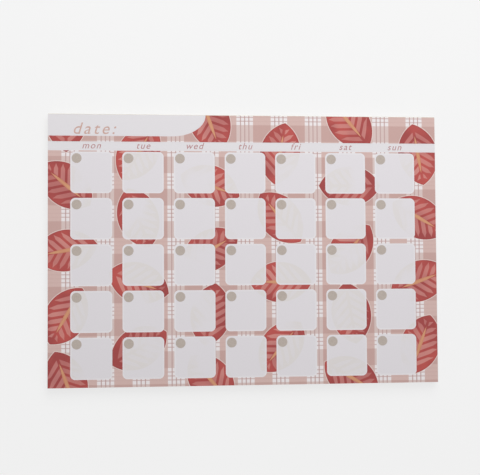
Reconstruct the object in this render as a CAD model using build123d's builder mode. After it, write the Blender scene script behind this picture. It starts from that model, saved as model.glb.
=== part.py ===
import math
import os

from build123d import *

# Sheets, board and glue
sheet_width = 297.0
sheet_height = 205.0
sheet_count = 50
sheet_thickness = 0.12
board_thickness = 1.5
glue_thickness = 0.4
glue_edge_radius = 0.25
ink_thickness = 0.05

# Header of the page, measured down from the head edge
panel_height = 16.2
panel_straight = 93.0
panel_sweep = 25.5
strip_drop = 20.4
strip_height = 6.9
strip_to_boxes = 0.8

# Day boxes: the margins and gaps are fixed, and the boxes fill what they leave
column_count = 7
row_count = 5
side_margin = 16.6
foot_margin = 5.9
column_gap = 7.57
row_gap = 3.53
box_radius = 3.8

# Date dots, measured from the top left of their boxes
dot_diameter = 7.3
dot_inset = 1.05
dot_drop = 1.35

# Plaid of the ground: pale bands up the page, measured from its left edge, and across it, from its head,
# which cuts the first of them
upright_band_width = 12.8
upright_band_pitch = 26.4
upright_band_start = 10.0
level_band_width = 11.9
level_band_pitch = 24.5
level_band_start = -4.8

# Leaves of the ground pattern, set in half-drop columns, each turned on from the last
leaf_length = 48.0
leaf_width = 31.0
leaf_pitch_x = 54.0
leaf_pitch_y = 49.0
leaf_turn_step = 50.0
rib_length = 29.0
rib_width = 2.8
finest_print_width = 0.5

# The stack from the table up, and the pad centred over the origin
block_height = sheet_count * sheet_thickness
page_top = board_thickness + block_height
left_edge = -sheet_width / 2
foot_edge = -(sheet_height + glue_thickness) / 2
head_edge = foot_edge + sheet_height
sheet_middle = (foot_edge + head_edge) / 2

# The day boxes' size and pitch, and the middle of their grid on the page
grid_drop = strip_drop + strip_height + strip_to_boxes
grid_width = sheet_width - 2 * side_margin
grid_height = sheet_height - grid_drop - foot_margin
column_pitch = (grid_width + column_gap) / column_count
row_pitch = (grid_height + row_gap) / row_count
box_width = column_pitch - column_gap
box_height = row_pitch - row_gap
grid_middle = (sheet_width / 2, -(grid_drop + grid_height / 2))
dot_left = dot_inset + (dot_diameter - box_width) / 2
dot_up = (box_height - dot_diameter) / 2 - dot_drop

# Print is laid out from the top left corner of the sheet, y pointing up the page
page = Plane(origin=(left_edge, head_edge, page_top))
from_corner = (Align.MIN, Align.MAX)


def soft_rectangle(width, height, radius):
    """A rectangle with round corners, each cut twice, and each cut halving the turn that is left."""
    with BuildSketch() as outline:
        Rectangle(width, height)
        for turn in (45, 22.5):
            cut = math.tan(math.radians(turn)) - math.tan(math.radians(turn / 2))
            chamfer(outline.vertices(), radius * cut)
    return outline.sketch


def pointed_oval(length, width):
    """A leaf outline: two equal arcs that meet in a point at each end."""
    tip = (0, length / 2)
    stem = (0, -length / 2)
    with BuildSketch() as oval:
        with BuildLine():
            ThreePointArc(stem, (width / 2, 0), tip)
            ThreePointArc(tip, (-width / 2, 0), stem)
        make_face()
    return oval.sketch


def band_starts(first, pitch, reach):
    """Where each of a set of bands begins, up to the far side of the sheet."""
    count = math.ceil((reach - first) / pitch)
    return [first + index * pitch for index in range(count)]


def leaf_places():
    """Where each leaf lies on the page, and how far it is turned."""
    columns = math.ceil(sheet_width / leaf_pitch_x)
    rows = math.ceil(sheet_height / leaf_pitch_y)
    first_x = (sheet_width - (columns - 1) * leaf_pitch_x) / 2
    first_y = -(sheet_height - (rows - 1) * leaf_pitch_y) / 2
    places = []
    for column in range(columns):
        half_drop = column % 2
        for row in range(half_drop, rows):
            x = first_x + column * leaf_pitch_x
            y = first_y - (row - half_drop / 2) * leaf_pitch_y
            turn = leaf_turn_step * (2 * column + row)
            places.append(Location((x, y, 0), (0, 0, turn)))
    return places


# Grey board that stiffens the pad and rests on the table
with BuildPart() as backing_board:
    with BuildSketch(Plane.XY):
        with Locations((0, sheet_middle)):
            Rectangle(sheet_width, sheet_height)
    extrude(amount=board_thickness)

# All the sheets, trimmed square with the board
with BuildPart() as page_block:
    with BuildSketch(Plane.XY.offset(board_thickness)):
        with Locations((0, sheet_middle)):
            Rectangle(sheet_width, sheet_height)
    extrude(amount=block_height)

# Flexible glue brushed over the head, which holds sheets and board together
head_face = Plane(origin=(0, head_edge, page_top / 2), x_dir=(-1, 0, 0), z_dir=(0, 1, 0))
with BuildPart() as padding_glue:
    with BuildSketch(head_face):
        Rectangle(sheet_width, page_top)
    extrude(amount=glue_thickness)
    outer_face = padding_glue.faces().sort_by(Axis.Y)[-1]
    fillet(outer_face.edges(), radius=min(glue_edge_radius, 0.9 * glue_thickness))

# What stays white on the page: the month panel, the weekday strip and the day boxes
with BuildSketch() as white_fields:
    Rectangle(panel_straight, panel_height, align=from_corner)
    with Locations((panel_straight, 0)):
        Ellipse(panel_sweep, panel_height)
    with Locations((0, -strip_drop)):
        Rectangle(sheet_width, strip_height, align=from_corner)
    with Locations(grid_middle):
        with GridLocations(column_pitch, row_pitch, column_count, row_count):
            add(soft_rectangle(box_width, box_height, box_radius))

# Plaid bands in both directions, trimmed at the sheet's edges and the white fields
with BuildSketch() as plaid_bands:
    for right in band_starts(upright_band_start, upright_band_pitch, sheet_width):
        with Locations((right, 0)):
            Rectangle(upright_band_width, sheet_height, align=from_corner)
    for down in band_starts(level_band_start, level_band_pitch, sheet_height):
        with Locations((0, -down)):
            Rectangle(sheet_width, level_band_width, align=from_corner)
    Rectangle(sheet_width, sheet_height, align=from_corner, mode=Mode.INTERSECT)
    add(white_fields.sketch, mode=Mode.SUBTRACT)

# Pale print of the bands
with BuildPart() as printed_bands:
    with BuildSketch(page):
        add(plaid_bands.sketch)
    extrude(amount=ink_thickness)

# Coloured ground between the bands, round the white fields
with BuildPart() as printed_ground:
    with BuildSketch(page):
        Rectangle(sheet_width, sheet_height, align=from_corner)
        add(white_fields.sketch, mode=Mode.SUBTRACT)
        add(plaid_bands.sketch, mode=Mode.SUBTRACT)
    extrude(amount=ink_thickness)


def leaf_pattern(length, width):
    """An oval at every leaf place, trimmed at the sheet's edges and the white fields, without any slivers."""
    with BuildSketch() as ovals:
        with Locations(*leaf_places()):
            add(pointed_oval(length, width))
        Rectangle(sheet_width, sheet_height, align=from_corner, mode=Mode.INTERSECT)
        add(white_fields.sketch, mode=Mode.SUBTRACT)
    return [face for face in ovals.faces() if 2 * face.area > finest_print_width * face.outer_wire().length]


# Leaves printed over the ground
with BuildPart() as printed_leaves:
    with BuildSketch(page.offset(ink_thickness)):
        add(leaf_pattern(leaf_length, leaf_width))
    extrude(amount=ink_thickness)

# A rib along the middle of each leaf, printed over it
with BuildPart() as printed_leaf_ribs:
    with BuildSketch(page.offset(2 * ink_thickness)):
        add(leaf_pattern(rib_length, rib_width))
    extrude(amount=ink_thickness)

# A dot for the date in the corner of every day box
with BuildPart() as date_dots:
    with BuildSketch(page):
        with Locations(grid_middle):
            with GridLocations(column_pitch, row_pitch, column_count, row_count):
                with Locations((dot_left, dot_up)):
                    add(soft_rectangle(dot_diameter, dot_diameter, dot_diameter / 2))
    extrude(amount=ink_thickness)

os.makedirs("parts", exist_ok=True)
pieces = {
    "backing_board": backing_board,
    "page_block": page_block,
    "padding_glue": padding_glue,
    "printed_bands": printed_bands,
    "printed_ground": printed_ground,
    "printed_leaves": printed_leaves,
    "printed_leaf_ribs": printed_leaf_ribs,
    "date_dots": date_dots,
}
for name, piece in pieces.items():
    piece.part.label = name
    export_step(piece.part, f"parts/{name}.step")
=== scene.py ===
import math
import random

import bmesh
import bpy
from mathutils import Matrix, Vector


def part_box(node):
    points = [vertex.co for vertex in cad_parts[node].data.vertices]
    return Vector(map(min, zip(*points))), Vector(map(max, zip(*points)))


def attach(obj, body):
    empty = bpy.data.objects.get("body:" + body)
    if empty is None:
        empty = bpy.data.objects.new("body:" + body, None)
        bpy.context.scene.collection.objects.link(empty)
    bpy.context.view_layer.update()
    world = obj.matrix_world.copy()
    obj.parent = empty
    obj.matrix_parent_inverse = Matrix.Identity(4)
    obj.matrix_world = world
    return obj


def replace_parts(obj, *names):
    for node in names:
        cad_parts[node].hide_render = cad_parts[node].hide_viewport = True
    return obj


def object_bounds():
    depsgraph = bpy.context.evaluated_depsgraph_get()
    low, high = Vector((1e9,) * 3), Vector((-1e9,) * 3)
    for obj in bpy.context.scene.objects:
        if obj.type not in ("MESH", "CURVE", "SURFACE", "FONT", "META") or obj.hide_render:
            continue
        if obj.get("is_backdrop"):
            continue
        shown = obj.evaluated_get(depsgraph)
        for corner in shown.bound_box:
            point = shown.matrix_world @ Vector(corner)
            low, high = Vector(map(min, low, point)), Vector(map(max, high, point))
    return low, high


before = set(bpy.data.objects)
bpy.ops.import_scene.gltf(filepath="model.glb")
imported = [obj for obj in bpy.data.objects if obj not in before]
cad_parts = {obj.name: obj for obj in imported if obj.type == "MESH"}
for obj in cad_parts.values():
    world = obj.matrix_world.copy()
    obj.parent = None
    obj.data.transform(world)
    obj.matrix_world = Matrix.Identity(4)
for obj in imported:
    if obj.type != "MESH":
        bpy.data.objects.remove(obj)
cad_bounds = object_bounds()
scene = bpy.context.scene
scene.view_settings.view_transform = "Standard"
chance = random.Random(7)

# Sizes are in millimetres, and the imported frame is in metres
MM = 0.001

# The pad as packed
block_low, block_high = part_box("page_block")
left_edge = block_low.x
head_edge = block_high.y
page_top = block_high.z
board_top = block_low.z / MM
sheet_width = (block_high.x - block_low.x) / MM
sheet_height = (block_high.y - block_low.y) / MM
sheet_count = 50
sheet_pitch = (block_high.z - block_low.z) / MM / sheet_count

# Loose sheets: how far their feet stray, more near the top, how short they are cut, and the air between
foot_stray = 0.08
top_foot_stray = 0.4
strayed_top_sheets = 6
cut_short = 0.12
air_gap = 0.01

# Share of a sheet's thickness at each face that the join shades
join_share = 0.14

# Weekday strip, and the day boxes with their margins and gaps
strip_drop = 20.4
strip_height = 6.9
strip_to_boxes = 0.8
column_count = 7
row_count = 5
side_margin = 16.6
foot_margin = 5.9
column_gap = 7.57
row_gap = 3.53
box_radius = 3.8
box_rim = 1.1
grid_drop = strip_drop + strip_height + strip_to_boxes
column_pitch = (sheet_width - 2 * side_margin + column_gap) / column_count
row_pitch = (sheet_height - grid_drop - foot_margin + row_gap) / row_count
box_width = column_pitch - column_gap
box_height = row_pitch - row_gap

# Leaves in half-drop columns, each turned on from the last
leaf_length = 48.0
leaf_width = 31.0
leaf_pitch_x = 54.0
leaf_pitch_y = 49.0
leaf_turn_step = 50.0
leaf_outline = 0.55
leaf_columns = math.ceil(sheet_width / leaf_pitch_x)
leaf_rows = math.ceil(sheet_height / leaf_pitch_y)
first_leaf_right = (sheet_width - (leaf_columns - 1) * leaf_pitch_x) / 2
first_leaf_down = (sheet_height - (leaf_rows - 1) * leaf_pitch_y) / 2
leaf_arc_radius = (leaf_length ** 2 + leaf_width ** 2) / (4 * leaf_width)
leaf_arc_offset = leaf_arc_radius - leaf_width / 2

# Side veins of a leaf: half their width at root and tip, and its blur, are shares of their spacing
vein_spacing = 6.6
vein_slope = 0.8
vein_root = 0.34
vein_tip = 0.08
vein_blur = 0.06
vein_taper = 4.0
vein_margin = 1.8
vein_to_rib = 1.1

# Plaid: pale bands with three thin lines in each
upright_band_width = 12.8
upright_band_pitch = 26.4
upright_band_start = 10.0
level_band_width = 11.9
level_band_pitch = 24.5
level_band_start = -4.8
band_line = 0.8
lines_in_band = 3

# Softness of printed edges, and of noise that is pushed apart into patches
print_blur = 0.15
patch_blur = 0.2

# Lettering: heights of the letters, and baselines measured down from the head edge
ink_depth = 0.04
letter_slant = 0.3
letter_curve_steps = 4
weld_reach = 0.001
weekday_size = 7.0
weekday_spacing = 1.2
weekday_drop_in_strip = 5.3
weekday_baseline = strip_drop + weekday_drop_in_strip
month_size = 12.5
month_spacing = 1.3
month_right = 34.0
month_baseline = 14.7

# Table, and a soft room with bright walls and a window high over the head of the pad, in metres and watts
table_side = 8.0
table_glow = 0.82
wall_level = 1.2
wall_top = 0.3
wall_blur = 0.2
ceiling_level = 0.36
window_place = Vector((0.14, 0.7, 0.8))
window_side = 0.8
window_power = 8.9

# Camera: nearly straight over the page, left of its middle and leaning to the right
camera_place = Vector((-78.5, -19.5, 764.3)) * MM
camera_turn = [math.radians(angle) for angle in (2.196, -5.593, -0.347)]
camera_lens = 75.0
camera_sensor = 36.0


# Shader building
class Signal:
    """A value in a node tree. Arithmetic on it adds Math nodes."""

    def __init__(self, nodes, socket):
        self.nodes = nodes
        self.socket = socket

    def other(self, name):
        """Another output of the same node."""
        return Signal(self.nodes, self.socket.node.outputs[name])

    def math(self, operation, *others):
        return self.nodes.math(operation, self, *others)

    def __add__(self, value):
        return self.math("ADD", value)

    __radd__ = __add__

    def __sub__(self, value):
        return self.math("SUBTRACT", value)

    def __rsub__(self, value):
        return self.nodes.math("SUBTRACT", value, self)

    def __mul__(self, value):
        return self.math("MULTIPLY", value)

    __rmul__ = __mul__

    def __truediv__(self, value):
        return self.math("DIVIDE", value)

    def __mod__(self, value):
        return self.math("FLOORED_MODULO", value)

    def __pow__(self, value):
        return self.math("POWER", value)

    def __abs__(self):
        return self.math("ABSOLUTE")

    def __round__(self):
        return self.math("ROUND")


class Nodes:
    """A node tree to build in."""

    def __init__(self, tree):
        self.tree = tree

    def node(self, kind, settings=None, inputs=None, output=0):
        """Adds a node of any type with its settings first, then its sockets' values or links."""
        made = self.tree.nodes.new(kind)
        for name, value in (settings or {}).items():
            setattr(made, name, value)
        for name, value in (inputs or {}).items():
            self.feed(made.inputs[name], value)
        return Signal(self, made.outputs[output])

    def feed(self, socket, value):
        if isinstance(value, Signal):
            self.tree.links.new(value.socket, socket)
        else:
            socket.default_value = value

    def math(self, operation, *values):
        return self.node("ShaderNodeMath", {"operation": operation}, dict(enumerate(values)))

    def mix(self, share, first, second):
        """From the first colour to the second. A Mix node's colours are its inputs 6 and 7 and output 2."""
        return self.node("ShaderNodeMix", {"data_type": "RGBA"}, {0: share, 6: first, 7: second}, 2)

    def glaze(self, colour, second, mask, strength):
        """Lays a second colour over the first where the mask is, at a share of its full strength."""
        return self.mix(strength * mask, colour, second)

    def step(self, value, low, high):
        """From 0 at low to 1 at high, smoothly."""
        settings = {"interpolation_type": "SMOOTHSTEP"}
        return self.node("ShaderNodeMapRange", settings, {0: value, 1: low, 2: high})

    def beyond(self, value, edge, blur=print_blur):
        """Mask of what lies past an edge."""
        return self.step(value, edge - blur, edge + blur)

    def within(self, value, edge, blur=print_blur):
        """Mask of what lies short of an edge."""
        return self.step(value, edge + blur, edge - blur)

    def in_view(self):
        """1 for what the camera sees, straight or through gloss and glass, and 0 for other light."""
        path = self.node("ShaderNodeLightPath")
        reflected = path.other("Is Glossy Ray").math("MAXIMUM", path.other("Is Transmission Ray"))
        return path.other("Is Camera Ray").math("MAXIMUM", reflected)


class Finish(Nodes):
    """A material with a Principled shader, and places on the page measured from its top left corner."""

    def __init__(self, name):
        self.material = bpy.data.materials.new(name)
        self.material.use_nodes = True
        super().__init__(self.material.node_tree)
        self.shader = self.tree.nodes["Principled BSDF"]
        self.place = self.node("ShaderNodeTexCoord").other("Object")
        axes = self.node("ShaderNodeSeparateXYZ", inputs={"Vector": self.place})
        self.right = (axes.other("X") - left_edge) / MM
        self.down = (head_edge - axes.other("Y")) / MM
        self.up = axes.other("Z") / MM

    def noise(self, per_mm, detail=2.0, stretch=(1.0, 1.0, 1.0)):
        """Noise from 0 to 1 with this many cells in a millimetre, times the stretch along each axis."""
        scale = Vector(stretch) * (per_mm / MM)
        place = self.node("ShaderNodeMapping", inputs={"Vector": self.place, "Scale": scale})
        return self.node("ShaderNodeTexNoise", inputs={"Vector": place, "Scale": 1.0, "Detail": detail})

    def patches(self, noise):
        """Noise pushed apart into patches of 0 and 1, with soft changes between."""
        return self.beyond(noise, 0.5, patch_blur)

    def cover(self, colour, roughness, gloss):
        self.feed(self.shader.inputs["Base Color"], colour)
        self.feed(self.shader.inputs["Roughness"], roughness)
        self.feed(self.shader.inputs["Specular IOR Level"], gloss)

    def emboss(self, height, strength, depth):
        """Raises the surface by a height from 0 to 1."""
        relief = {"Height": height, "Strength": strength, "Distance": depth * MM}
        self.feed(self.shader.inputs["Normal"], self.node("ShaderNodeBump", inputs=relief))


def srgb(red, green, blue):
    """A colour written as it looks on a screen, 0 to 255."""
    def linear(level):
        share = level / 255
        return share / 12.92 if share <= 0.04045 else ((share + 0.055) / 1.055) ** 2.4
    return (linear(red), linear(green), linear(blue), 1.0)


# Patterns of the page
def leaf_frame(finish):
    """Where a point lies in the nearest leaf: across it, along it, and in from its edge."""
    column = round((finish.right - first_leaf_right) / leaf_pitch_x)
    odd = column % 2
    half_drop = odd / 2
    row = round((finish.down - first_leaf_down) / leaf_pitch_y + half_drop)
    row = row.math("MAXIMUM", odd).math("MINIMUM", leaf_rows - 1)
    turn = (column * 2 + row) * math.radians(leaf_turn_step)
    right = finish.right - (column * leaf_pitch_x + first_leaf_right)
    up = (row - half_drop) * leaf_pitch_y + first_leaf_down - finish.down
    cosine = turn.math("COSINE")
    sine = turn.math("SINE")
    across = right * cosine + up * sine
    along = up * cosine - right * sine
    reach = ((abs(across) + leaf_arc_offset) ** 2 + along ** 2).math("SQRT")
    return across, along, leaf_arc_radius - reach


def leaf_veins(finish, across, along, inward):
    """Mask of the side veins, which fan out from the rib and end in points short of the edge."""
    out = abs(across)
    beat = (along - out * vein_slope) / vein_spacing
    from_vein = abs(beat % 1 - 0.5)
    fullness = finish.step(inward, vein_margin, vein_margin + vein_taper)
    half_width = vein_tip + fullness * (vein_root - vein_tip)
    vein = finish.step(half_width - from_vein, 0.0, vein_blur)
    short_of_edge = finish.beyond(inward, vein_margin, blur=0.3)
    clear_of_rib = finish.beyond(out, vein_to_rib, blur=0.5)
    return vein * short_of_edge * clear_of_rib


def bands(finish, place, start, period, width):
    """Masks of one set of plaid bands, and of the thin lines in each band."""
    along = (place - start) % period
    band = finish.within(abs(along - width / 2), width / 2)
    line_pitch = width / (lines_in_band + 1)
    nearest = round(along / line_pitch).math("MAXIMUM", 1).math("MINIMUM", lines_in_band)
    line = finish.within(abs(along - nearest * line_pitch), band_line / 2)
    return band, line


def plaid(finish):
    """The ground's plaid as a colour: level lines show most where they cross an upright band."""
    pink = srgb(196, 162, 156)
    upright_pale = srgb(212, 192, 188)
    level_pale = srgb(209, 180, 174)
    crossing_white = srgb(233, 227, 228)
    upright_thread = srgb(188, 155, 152)
    level_thread = srgb(186, 150, 146)
    level_strength = 0.15
    crossing_strength = 0.5
    upright, upright_line = bands(
        finish, finish.right, upright_band_start, upright_band_pitch, upright_band_width)
    level, level_line = bands(
        finish, finish.down, level_band_start, level_band_pitch, level_band_width)
    plain_row = finish.mix(upright, pink, upright_pale)
    pale_row = finish.mix(upright, level_pale, crossing_white)
    cloth = finish.mix(level, plain_row, pale_row)
    cloth = finish.glaze(cloth, upright_thread, upright_line, strength=0.9)
    strength = level_strength + crossing_strength * upright
    return finish.glaze(cloth, level_thread, level_line, strength)


def beyond_box(finish):
    """How far a point lies outside the nearest day box, less than zero inside it."""
    right = (finish.right - (side_margin - column_gap / 2)) % column_pitch
    down = (finish.down - (grid_drop - row_gap / 2)) % row_pitch
    beyond_x = abs(right - column_pitch / 2) - (box_width / 2 - box_radius)
    beyond_y = abs(down - row_pitch / 2) - (box_height / 2 - box_radius)
    corner = (beyond_x.math("MAXIMUM", 0) ** 2 + beyond_y.math("MAXIMUM", 0) ** 2).math("SQRT")
    side = beyond_x.math("MAXIMUM", beyond_y).math("MINIMUM", 0)
    return corner + side - box_radius


def sheet_join_mask(finish):
    """Mask of the joins between the sheets, up the edge of the block, where shade is painted."""
    sheet = (finish.up - board_top) / sheet_pitch
    join = finish.step(abs(sheet % 1 - 0.5), 0.5 - join_share, 0.5)
    return join * finish.beyond(finish.up, board_top)


# Finishes
def paper_finish():
    """White uncoated paper: lighter rims round the day boxes, and a faint show-through of leaves in them."""
    finish = Finish("white_paper")
    paper = srgb(224, 221, 224)
    rim = srgb(229, 226, 229)
    tint = srgb(224, 220, 224)
    ghost = srgb(221, 216, 215)
    fibre = srgb(196, 190, 192)
    vein_fade = 0.55
    across, along, inward = leaf_frame(finish)
    in_grid = finish.beyond(finish.down, grid_drop)
    in_box = in_grid * finish.within(beyond_box(finish), -box_rim, blur=0.3)
    clouds = finish.step(finish.noise(per_mm=0.03), low=0.38, high=0.58)
    ghost_leaf = finish.step(inward, low=0.0, high=0.9) * clouds
    ghost_leaf = ghost_leaf * (1 - vein_fade * leaf_veins(finish, across, along, inward))
    colour = finish.mix(in_grid, paper, rim)
    colour = finish.mix(in_box, colour, finish.mix(ghost_leaf, tint, ghost))
    fibres = finish.noise(per_mm=1.6, detail=4.0, stretch=(1.0, 0.45, 1.0))
    colour = finish.glaze(colour, fibre, finish.step(fibres, low=0.35, high=0.75), strength=0.05)
    finish.cover(colour, roughness=0.85, gloss=0.25)
    finish.emboss(fibres, strength=0.15, depth=0.02)
    return finish.material


def sheet_edge_finish():
    """Cut edges of the sheets: painted shade in the joins between them, and a tint where the print runs off
    the edge.
    """
    finish = Finish("sheet_edges")
    light_paper = srgb(232, 229, 229)
    grey_paper = srgb(216, 210, 209)
    pink_tint = srgb(218, 188, 182)
    red_tint = srgb(190, 112, 106)
    painted_join_shade = srgb(150, 138, 136)
    tint_strength = 0.12
    streak_strength = 0.3
    streaks = finish.patches(finish.noise(per_mm=0.03, detail=3.0, stretch=(1.0, 1.0, 160.0)))
    *_, inward = leaf_frame(finish)
    tint = finish.mix(finish.beyond(inward, 0.0, blur=0.5), pink_tint, red_tint)
    from_strip = abs(finish.down - (strip_drop + strip_height / 2))
    printed = finish.beyond(from_strip, strip_height / 2, blur=0.3)
    joins = sheet_join_mask(finish)
    colour = finish.mix(streaks, light_paper, grey_paper)
    colour = finish.glaze(colour, tint, printed, tint_strength + streak_strength * streaks)
    # Painted shade in the joins between the sheets
    colour = finish.glaze(colour, painted_join_shade, joins, strength=0.35)
    finish.cover(colour, roughness=0.9, gloss=0.2)
    finish.emboss(joins, strength=0.3, depth=0.03)
    return finish.material


def matt_print(finish, colour, speck):
    """Ends the finish of a print: fine specks in its colour, and the tooth of the paper under it."""
    grain = finish.noise(per_mm=2.2, detail=3.0)
    colour = finish.glaze(colour, speck, finish.step(grain, low=0.4, high=0.8), strength=0.06)
    finish.cover(colour, roughness=0.7, gloss=0.3)
    finish.emboss(grain, strength=0.1, depth=0.02)
    return finish.material


def ground_finish():
    """Pink plaid, with a thin pale outline round the leaves, and red where a leaf's edge runs over it."""
    finish = Finish("plaid_print")
    pale_outline = srgb(232, 216, 211)
    leaf_red = srgb(165, 74, 72)
    speck = srgb(180, 140, 134)
    *_, inward = leaf_frame(finish)
    outlined = finish.beyond(inward, -leaf_outline)
    colour = finish.glaze(plaid(finish), pale_outline, outlined, strength=0.75)
    colour = finish.mix(finish.beyond(inward, 0.0), colour, leaf_red)
    return matt_print(finish, colour, speck)


def leaf_finish():
    """Brick red leaves with pink side veins, stronger on one half of the leaf."""
    finish = Finish("leaf_print")
    deep_red = srgb(157, 70, 69)
    bright_red = srgb(186, 84, 79)
    edge_red = srgb(146, 56, 58)
    deep_pink = srgb(190, 120, 116)
    pale_pink = srgb(208, 142, 134)
    speck = srgb(130, 60, 58)
    edge_width = 0.9
    vein_strength = 0.7
    stronger_by = 0.2
    across, along, inward = leaf_frame(finish)
    wash = finish.patches(finish.noise(per_mm=0.045))
    red = finish.mix(wash, deep_red, bright_red)
    red = finish.glaze(red, edge_red, finish.step(inward, edge_width, 0.0), strength=0.35)
    pink = finish.mix(wash, deep_pink, pale_pink)
    strength = vein_strength + stronger_by * finish.beyond(across, 0.0)
    colour = finish.glaze(red, pink, leaf_veins(finish, across, along, inward), strength)
    return matt_print(finish, colour, speck)


def rib_finish():
    """Soft orange ribs, paler along the middle."""
    finish = Finish("rib_print")
    deep_orange = srgb(199, 135, 103)
    light_orange = srgb(206, 148, 112)
    middle_orange = srgb(217, 168, 130)
    speck = srgb(150, 96, 70)
    middle_half_width = 0.5
    across, *_ = leaf_frame(finish)
    middle = finish.within(abs(across), middle_half_width, blur=0.4)
    colour = finish.mix(finish.patches(finish.noise(per_mm=0.12)), deep_orange, light_orange)
    colour = finish.glaze(colour, middle_orange, middle, strength=0.35)
    return matt_print(finish, colour, speck)


def dot_finish():
    """Warm grey beige dots."""
    finish = Finish("dot_print")
    light_beige = srgb(188, 177, 168)
    deep_beige = srgb(180, 168, 159)
    speck = srgb(150, 138, 130)
    mottle = finish.patches(finish.noise(per_mm=1.4, detail=3.0))
    return matt_print(finish, finish.mix(mottle, light_beige, deep_beige), speck)


def lettering_finish(name, deep, light):
    """Ink of the lettering, a little uneven."""
    finish = Finish(name)
    mottle = finish.patches(finish.noise(per_mm=0.5, detail=3.0))
    return matt_print(finish, finish.mix(mottle, deep, light), deep)


def board_finish():
    """Grey board: pressed fibres on the face, and layers along the cut edge."""
    finish = Finish("greyboard")
    light_grey = srgb(166, 158, 148)
    mid_grey = srgb(146, 138, 128)
    layer_grey = srgb(126, 118, 110)
    fleck_grey = srgb(104, 98, 94)
    fibres = finish.noise(per_mm=0.6, detail=5.0, stretch=(1.0, 0.35, 3.0))
    layers = finish.noise(per_mm=0.05, stretch=(1.0, 1.0, 120.0))
    flecks = finish.noise(per_mm=2.5)
    colour = finish.mix(finish.patches(fibres), light_grey, mid_grey)
    colour = finish.glaze(colour, layer_grey, finish.step(layers, low=0.4, high=0.7), strength=0.3)
    colour = finish.glaze(colour, fleck_grey, finish.step(flecks, low=0.66, high=0.72), strength=0.5)
    finish.cover(colour, roughness=0.92, gloss=0.2)
    finish.emboss(fibres, strength=0.35, depth=0.06)
    return finish.material


def glue_finish():
    """Milky padding glue, brushed along the head, with the joins of the sheets just showing through as faint
    painted shade.
    """
    finish = Finish("padding_glue")
    cream = srgb(218, 214, 203)
    deep_cream = srgb(205, 199, 185)
    pooled = srgb(226, 223, 215)
    painted_join_shade = srgb(158, 148, 138)
    least_roughness = 0.3
    rougher_by = 0.2
    strokes = finish.noise(per_mm=0.25, detail=4.0, stretch=(0.08, 1.0, 3.0))
    pools = finish.noise(per_mm=0.08, detail=3.0)
    colour = finish.mix(finish.patches(strokes), cream, deep_cream)
    colour = finish.glaze(colour, pooled, finish.step(pools, low=0.45, high=0.75), strength=0.5)
    # Faint painted shade along the joins of the sheets under the glue
    colour = finish.glaze(colour, painted_join_shade, sheet_join_mask(finish), strength=0.1)
    roughness = least_roughness + rougher_by * finish.step(pools, low=0.2, high=0.8)
    finish.cover(colour, roughness, gloss=0.5)
    finish.emboss(strokes, strength=0.4, depth=0.08)
    return finish.material


def table_finish():
    """Pale table top that shows evenly and keeps a soft shadow of the pad."""
    finish = Finish("pale_table")
    white = srgb(251, 251, 251)
    soft_white = srgb(249, 249, 249)
    pale = srgb(243, 243, 243)
    soft_pale = srgb(242, 242, 242)
    clouds = finish.noise(per_mm=0.002)
    finish.cover(finish.mix(clouds, white, soft_white), roughness=0.9, gloss=0.0)
    glow_inputs = {"Color": finish.mix(clouds, pale, soft_pale), "Strength": 1.0}
    glow = finish.node("ShaderNodeEmission", inputs=glow_inputs)
    matt = Signal(finish, finish.shader.outputs["BSDF"])
    both = finish.node("ShaderNodeMixShader", inputs={0: finish.in_view() * table_glow, 1: matt, 2: glow})
    finish.feed(finish.tree.nodes["Material Output"].inputs["Surface"], both)
    return finish.material


# Pieces
def add_object(name, shape, finish):
    """Turns a finished shape into an object of the scene."""
    mesh = bpy.data.meshes.new(name)
    shape.to_mesh(mesh)
    shape.free()
    mesh.materials.append(finish)
    made = bpy.data.objects.new(name, mesh)
    scene.collection.objects.link(made)
    return made


def add_piece(name, shape, finish):
    """Makes a piece of the pad."""
    piece = add_object(name, shape, finish)
    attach(piece, "root")
    return piece


def add_sheet(shape, up, thickness, stray, short):
    """A sheet with its head in the glue: its foot strays to the right, and is cut short."""
    width = sheet_width * MM
    height = (sheet_height - short) * MM
    corners = bmesh.ops.create_cube(shape, size=1.0)["verts"]
    bmesh.ops.scale(shape, vec=(width, height, thickness * MM), verts=corners)
    bmesh.ops.translate(shape, vec=(0.0, -height / 2, 0.0), verts=corners)
    lean = Matrix.Shear("XZ", 4, (-stray / sheet_height, 0.0))
    bmesh.ops.transform(shape, matrix=lean, verts=corners)
    head_middle = (left_edge + width / 2, head_edge, (up + thickness / 2) * MM)
    bmesh.ops.translate(shape, vec=head_middle, verts=corners)


def make_top_sheet():
    shape = bmesh.new()
    add_sheet(shape, page_top / MM - sheet_pitch, sheet_pitch, stray=0.0, short=0.0)
    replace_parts(add_piece("top_sheet", shape, paper_finish()), "page_block")


def make_lower_sheets():
    """The rest of the block, each sheet strayed by a hair, and a few near the top by more."""
    shape = bmesh.new()
    lower_count = sheet_count - 1
    for index in range(lower_count):
        stray = chance.gauss(0.0, foot_stray)
        if index >= lower_count - strayed_top_sheets:
            stray = chance.uniform(0.0, top_foot_stray)
        short = chance.uniform(0.0, cut_short)
        add_sheet(shape, board_top + index * sheet_pitch, sheet_pitch - air_gap, stray, short)
    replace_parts(add_piece("lower_sheets", shape, sheet_edge_finish()), "page_block")


def add_words(shape, words, size, spacing, right, down):
    """Words in thin ink on the page, centred on a place measured from its top left corner."""
    text = bpy.data.curves.new("words", "FONT")
    text.body = words
    text.size = size * MM
    text.shear = letter_slant
    text.space_character = spacing
    text.align_x = "CENTER"
    text.extrude = ink_depth * MM / 2
    text.resolution_u = letter_curve_steps
    setting = bpy.data.objects.new("words", text)
    scene.collection.objects.link(setting)
    drawn = bpy.data.meshes.new_from_object(setting.evaluated_get(bpy.context.evaluated_depsgraph_get()))
    bpy.data.objects.remove(setting)
    first = len(shape.verts)
    shape.from_mesh(drawn)
    bpy.data.meshes.remove(drawn)
    shape.verts.ensure_lookup_table()
    place = (left_edge + right * MM, head_edge - down * MM, page_top + ink_depth * MM / 2)
    bmesh.ops.translate(shape, vec=place, verts=shape.verts[first:])


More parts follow.
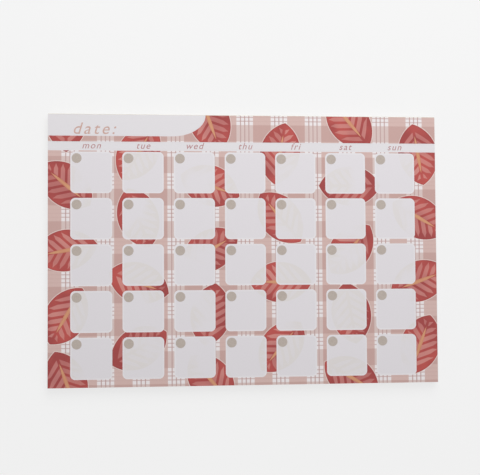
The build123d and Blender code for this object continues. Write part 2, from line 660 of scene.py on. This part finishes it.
def add_lettering(name, shape, ink):
    """Makes a piece of words that are all in place, with the seams of their letters welded."""
    bmesh.ops.remove_doubles(shape, verts=shape.verts, dist=weld_reach * MM)
    add_piece(name, shape, ink)


def make_weekday_lettering():
    deep_ink = srgb(176, 126, 127)
    light_ink = srgb(186, 138, 138)
    shape = bmesh.new()
    for index, day in enumerate(("mon", "tue", "wed", "thu", "fri", "sat", "sun")):
        box_middle = side_margin + box_width / 2 + index * column_pitch
        add_words(shape, day, weekday_size, weekday_spacing, box_middle, weekday_baseline)
    add_lettering("weekday_lettering", shape, lettering_finish("weekday_ink", deep_ink, light_ink))


def make_month_lettering():
    deep_ink = srgb(196, 160, 150)
    light_ink = srgb(206, 172, 161)
    shape = bmesh.new()
    add_words(shape, "date:", month_size, month_spacing, month_right, month_baseline)
    add_lettering("month_lettering", shape, lettering_finish("month_ink", deep_ink, light_ink))


# Stage
def make_table():
    shape = bmesh.new()
    bmesh.ops.create_grid(shape, x_segments=1, y_segments=1, size=table_side / 2)
    add_object("table", shape, table_finish())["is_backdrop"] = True


def make_room():
    """Light from all round, and an even backdrop where the camera looks past the table."""
    white = srgb(255, 255, 255)
    pale_grey = srgb(232, 232, 232)
    world = bpy.data.worlds.new("room")
    world.use_nodes = True
    nodes = Nodes(world.node_tree)
    direction = nodes.node("ShaderNodeTexCoord").other("Generated")
    height = nodes.node("ShaderNodeSeparateXYZ", inputs={"Vector": direction}).other("Z")
    level = ceiling_level + (wall_level - ceiling_level) * nodes.within(height, wall_top, wall_blur)
    light = nodes.node("ShaderNodeBackground", inputs={"Color": white, "Strength": level})
    backdrop = nodes.node("ShaderNodeBackground", inputs={"Color": pale_grey, "Strength": 1.0})
    both = nodes.node("ShaderNodeMixShader", inputs={0: nodes.in_view(), 1: light, 2: backdrop})
    nodes.feed(world.node_tree.nodes["World Output"].inputs["Surface"], both)
    scene.world = world


def make_window():
    lamp = bpy.data.lights.new("window", "AREA")
    lamp.shape = "SQUARE"
    lamp.size = window_side
    lamp.energy = window_power
    window = bpy.data.objects.new("window", lamp)
    window.location = window_place
    window.rotation_euler = (-window_place).to_track_quat("-Z", "Y").to_euler()
    scene.collection.objects.link(window)


def make_camera():
    eye = bpy.data.cameras.new("camera")
    eye.lens = camera_lens
    eye.sensor_width = camera_sensor
    camera = bpy.data.objects.new("camera", eye)
    camera.location = camera_place
    camera.rotation_euler = camera_turn
    scene.collection.objects.link(camera)
    scene.camera = camera


make_top_sheet()
make_lower_sheets()
make_weekday_lettering()
make_month_lettering()

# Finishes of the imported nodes
for node, make_finish in {
    "printed_ground": ground_finish,
    "printed_bands": ground_finish,
    "printed_leaves": leaf_finish,
    "printed_leaf_ribs": rib_finish,
    "date_dots": dot_finish,
    "backing_board": board_finish,
    "padding_glue": glue_finish,
}.items():
    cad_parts[node].material_slots[0].material = make_finish()

make_table()
make_room()
make_window()
make_camera()

visual_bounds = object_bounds()
({
    "cad": [list(corner) for corner in cad_bounds],
    "visual": [list(corner) for corner in visual_bounds],
})
